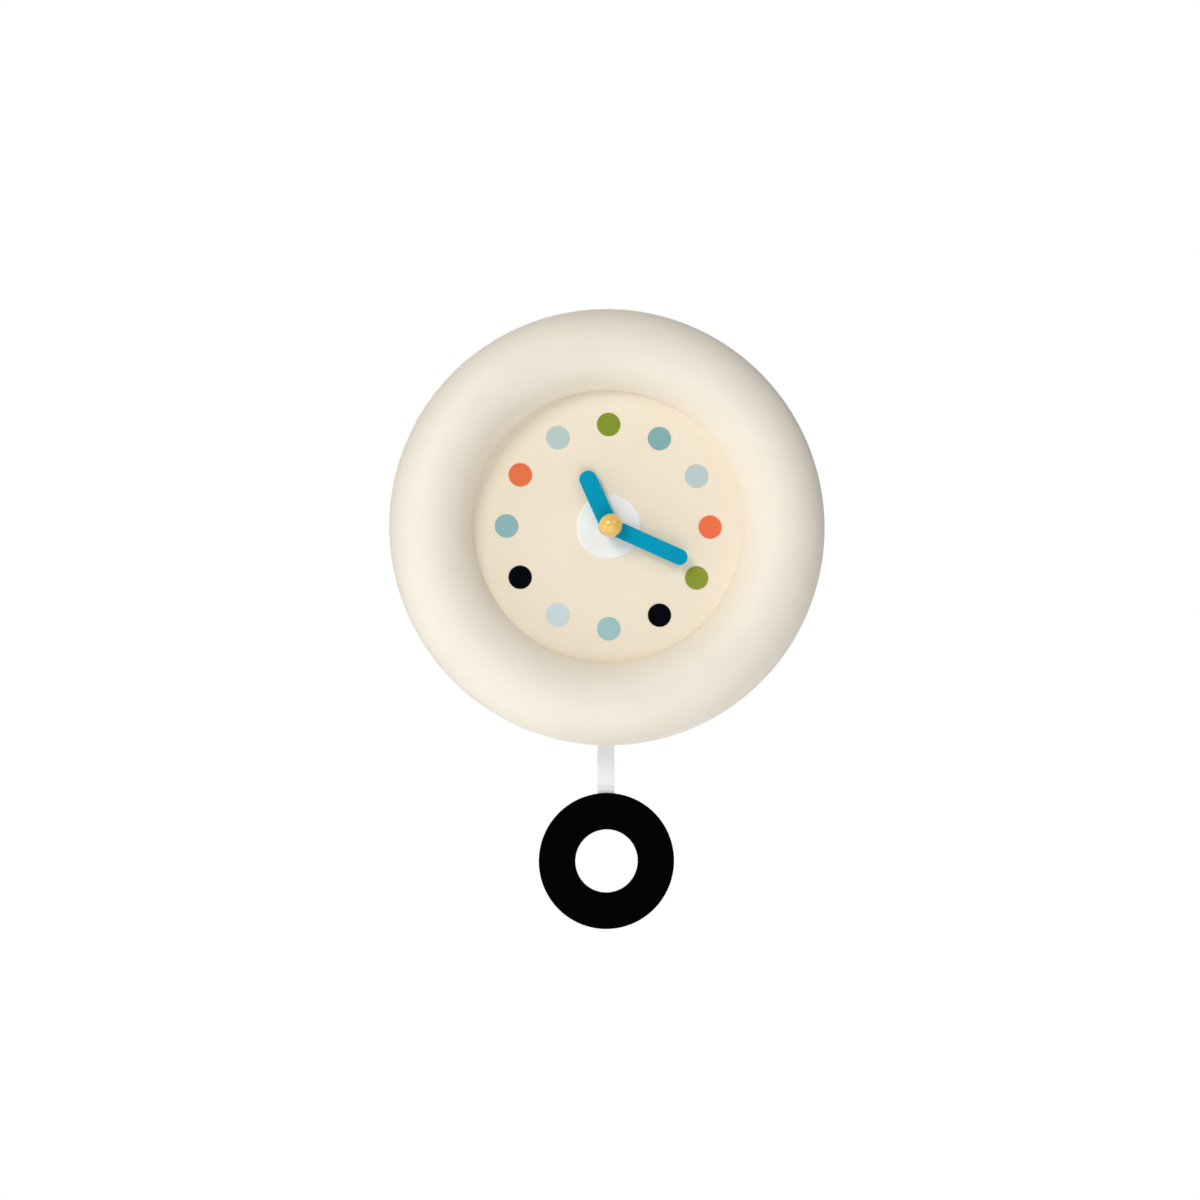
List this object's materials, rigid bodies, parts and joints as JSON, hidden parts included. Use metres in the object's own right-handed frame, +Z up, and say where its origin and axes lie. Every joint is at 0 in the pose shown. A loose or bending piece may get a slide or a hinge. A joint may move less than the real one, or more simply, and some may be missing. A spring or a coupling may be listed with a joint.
{
  "type": "pendulum wall clock",
  "caption": "Round wall clock with a thick rounded ring case, dotted dial, two hands under a ball cap, a quartz movement, and a ring-shaped bob on a short flat swinging rod.",
  "frame": {"origin": "top of the keyhole slot in the plane of the wall, where the wall screw carries the clock", "axes": "+Z up, -Y the side the dial faces, +Y into the wall, +X to the right seen from the front"},
  "size_m": [0.2498, 0.0449, 0.355],
  "materials": {
    "front_shell": "cream ABS, fine satin moulded texture",
    "rear_cover": "cream ABS, matte",
    "dial": "cream, matte printed face",
    "centre_disc": "off-white, matte",
    "hour_marker_01": "teal, matte printed",
    "hour_marker_02": "pale blue, matte printed",
    "hour_marker_03": "coral, matte printed",
    "hour_marker_04": "olive green, matte printed",
    "hour_marker_05": "black, matte printed",
    "hour_marker_06": "light teal, matte printed",
    "hour_marker_07": "very pale blue, matte printed",
    "hour_marker_08": "black, matte printed",
    "hour_marker_09": "teal, matte printed",
    "hour_marker_10": "coral, matte printed",
    "hour_marker_11": "pale blue, matte printed",
    "hour_marker_12": "olive green, matte printed",
    "dial_screw_1": "zinc-plated steel",
    "rear_cover_screw_1": "zinc-plated steel",
    "dial_screw_2": "zinc-plated steel",
    "rear_cover_screw_2": "zinc-plated steel",
    "dial_screw_3": "zinc-plated steel",
    "rear_cover_screw_3": "zinc-plated steel",
    "dial_screw_4": "zinc-plated steel",
    "rear_cover_screw_4": "zinc-plated steel",
    "fixing_washer": "turned brass",
    "fixing_nut": "turned brass",
    "threaded_bush": "turned brass",
    "minute_arbor": "turned brass",
    "hour_hand": "blue, matte",
    "minute_hand": "blue, matte",
    "hub_cap": "glossy yellow",
    "movement_front_plate": "black ABS, fine spark texture",
    "movement_rear_housing": "black ABS, fine spark texture",
    "train_bridge": "white acetal",
    "hour_wheel": "white acetal",
    "minute_wheel": "white acetal",
    "seconds_wheel": "white acetal",
    "intermediate_wheel": "white acetal",
    "third_wheel": "white acetal",
    "centre_wheel": "white acetal",
    "pendulum_lever": "white acetal",
    "set_knob": "black ABS, fluted",
    "rotor": "grey plastic around a ferrite magnet",
    "stator": "soft iron sheet",
    "time_coil": "enamelled copper wire",
    "pendulum_coil": "enamelled copper wire",
    "circuit_board": "green fibre board",
    "quartz_crystal": "drawn metal can",
    "battery": "plain dark sleeve, no marks",
    "contact_positive": "nickel-plated spring steel",
    "contact_negative": "nickel-plated spring steel",
    "pendulum_pivot_pin": "polished steel",
    "pendulum_magnet": "nickel-plated magnet",
    "pendulum_rod": "off-white, satin",
    "bob_clip": "off-white, satin",
    "pendulum_bob": "black, satin"
  },
  "bodies": {
    "case": {"front_shell": "front_shell", "rear_cover": "rear_cover", "dial": "dial", "centre_disc": "centre_disc", "hour_marker_01": "hour_marker_01", "hour_marker_02": "hour_marker_02", "hour_marker_03": "hour_marker_03", "hour_marker_04": "hour_marker_04", "hour_marker_05": "hour_marker_05", "hour_marker_06": "hour_marker_06", "hour_marker_07": "hour_marker_07", "hour_marker_08": "hour_marker_08", "hour_marker_09": "hour_marker_09", "hour_marker_10": "hour_marker_10", "hour_marker_11": "hour_marker_11", "hour_marker_12": "hour_marker_12", "dial_screw_1": "dial_screw_1", "dial_screw_2": "dial_screw_2", "dial_screw_3": "dial_screw_3", "dial_screw_4": "dial_screw_4", "rear_cover_screw_1": "rear_cover_screw_1", "rear_cover_screw_2": "rear_cover_screw_2", "rear_cover_screw_3": "rear_cover_screw_3", "rear_cover_screw_4": "rear_cover_screw_4", "fixing_washer": "fixing_washer", "fixing_nut": "fixing_nut", "threaded_bush": "threaded_bush", "movement_front_plate": "movement_front_plate", "movement_rear_housing": "movement_rear_housing", "train_bridge": "train_bridge", "stator": "stator", "time_coil": "time_coil", "circuit_board": "circuit_board", "quartz_crystal": "quartz_crystal", "contact_positive": "contact_positive", "contact_negative": "contact_negative", "pendulum_pivot_pin": "pendulum_pivot_pin", "pendulum_coil": "pendulum_coil"},
    "minute_hand_set": {"minute_hand": "minute_hand", "hub_cap": "hub_cap", "minute_arbor": "minute_arbor"},
    "hour_hand_set": {"hour_hand": "hour_hand", "hour_wheel": "hour_wheel"},
    "minute_wheel_body": {"minute_wheel": "minute_wheel"},
    "set_knob_body": {"set_knob": "set_knob"},
    "seconds_wheel_body": {"seconds_wheel": "seconds_wheel"},
    "intermediate_wheel_body": {"intermediate_wheel": "intermediate_wheel"},
    "rotor_body": {"rotor": "rotor"},
    "third_wheel_body": {"third_wheel": "third_wheel"},
    "centre_wheel_body": {"centre_wheel": "centre_wheel"},
    "pendulum": {"pendulum_lever": "pendulum_lever", "pendulum_magnet": "pendulum_magnet", "pendulum_rod": "pendulum_rod", "bob_clip": "bob_clip", "pendulum_bob": "pendulum_bob"},
    "battery_body": {"battery": "battery"}
  },
  "joints": [
    {"name": "minute_hand_turn", "type": "hinge", "parent": "case", "child": "minute_hand_set", "pos_m": [0, -0.02, -0.08], "axis": [0, 1, 0], "continuous": true},
    {"name": "hour_hand_turn", "type": "hinge", "parent": "case", "child": "hour_hand_set", "pos_m": [0, -0.02, -0.08], "axis": [0, 1, 0], "continuous": true},
    {"name": "minute_wheel_turn", "type": "hinge", "parent": "case", "child": "minute_wheel_body", "pos_m": [0.01, -0.02, -0.08], "axis": [0, 1, 0], "continuous": true},
    {"name": "set_knob_turn", "type": "hinge", "parent": "case", "child": "set_knob_body", "pos_m": [0.01866, -0.02, -0.075], "axis": [0, 1, 0], "continuous": true},
    {"name": "seconds_wheel_turn", "type": "hinge", "parent": "case", "child": "seconds_wheel_body", "pos_m": [0, -0.02, -0.08], "axis": [0, 1, 0], "continuous": true},
    {"name": "intermediate_wheel_turn", "type": "hinge", "parent": "case", "child": "intermediate_wheel_body", "pos_m": [0.0051, -0.02, -0.07117], "axis": [0, 1, 0], "continuous": true},
    {"name": "rotor_turn", "type": "hinge", "parent": "case", "child": "rotor_body", "pos_m": [0.00986, -0.02, -0.06292], "axis": [0, 1, 0], "continuous": true},
    {"name": "third_wheel_turn", "type": "hinge", "parent": "case", "child": "third_wheel_body", "pos_m": [-0.00958, -0.02, -0.07651], "axis": [0, 1, 0], "continuous": true},
    {"name": "centre_wheel_turn", "type": "hinge", "parent": "case", "child": "centre_wheel_body", "pos_m": [0, -0.02, -0.08], "axis": [0, 1, 0], "continuous": true},
    {"name": "pendulum_swing", "type": "hinge", "parent": "case", "child": "pendulum", "pos_m": [0, -0.009, -0.11305], "axis": [0, 1, 0], "range_deg": [-8, 8]},
    {"name": "battery_slide", "type": "slide", "parent": "case", "child": "battery_body", "axis": [0, 1, 0], "range_m": [0, 0.018]}
  ],
  "couplings": [
    {"joint": "hour_hand_turn", "follows": "minute_hand_turn", "ratio": 0.083333},
    {"joint": "minute_wheel_turn", "follows": "minute_hand_turn", "ratio": -0.33333},
    {"joint": "set_knob_turn", "follows": "minute_hand_turn", "ratio": 1},
    {"joint": "intermediate_wheel_turn", "follows": "seconds_wheel_turn", "ratio": -5},
    {"joint": "rotor_turn", "follows": "seconds_wheel_turn", "ratio": 30},
    {"joint": "third_wheel_turn", "follows": "seconds_wheel_turn", "ratio": -0.13333},
    {"joint": "centre_wheel_turn", "follows": "seconds_wheel_turn", "ratio": 0.016667}
  ]
}
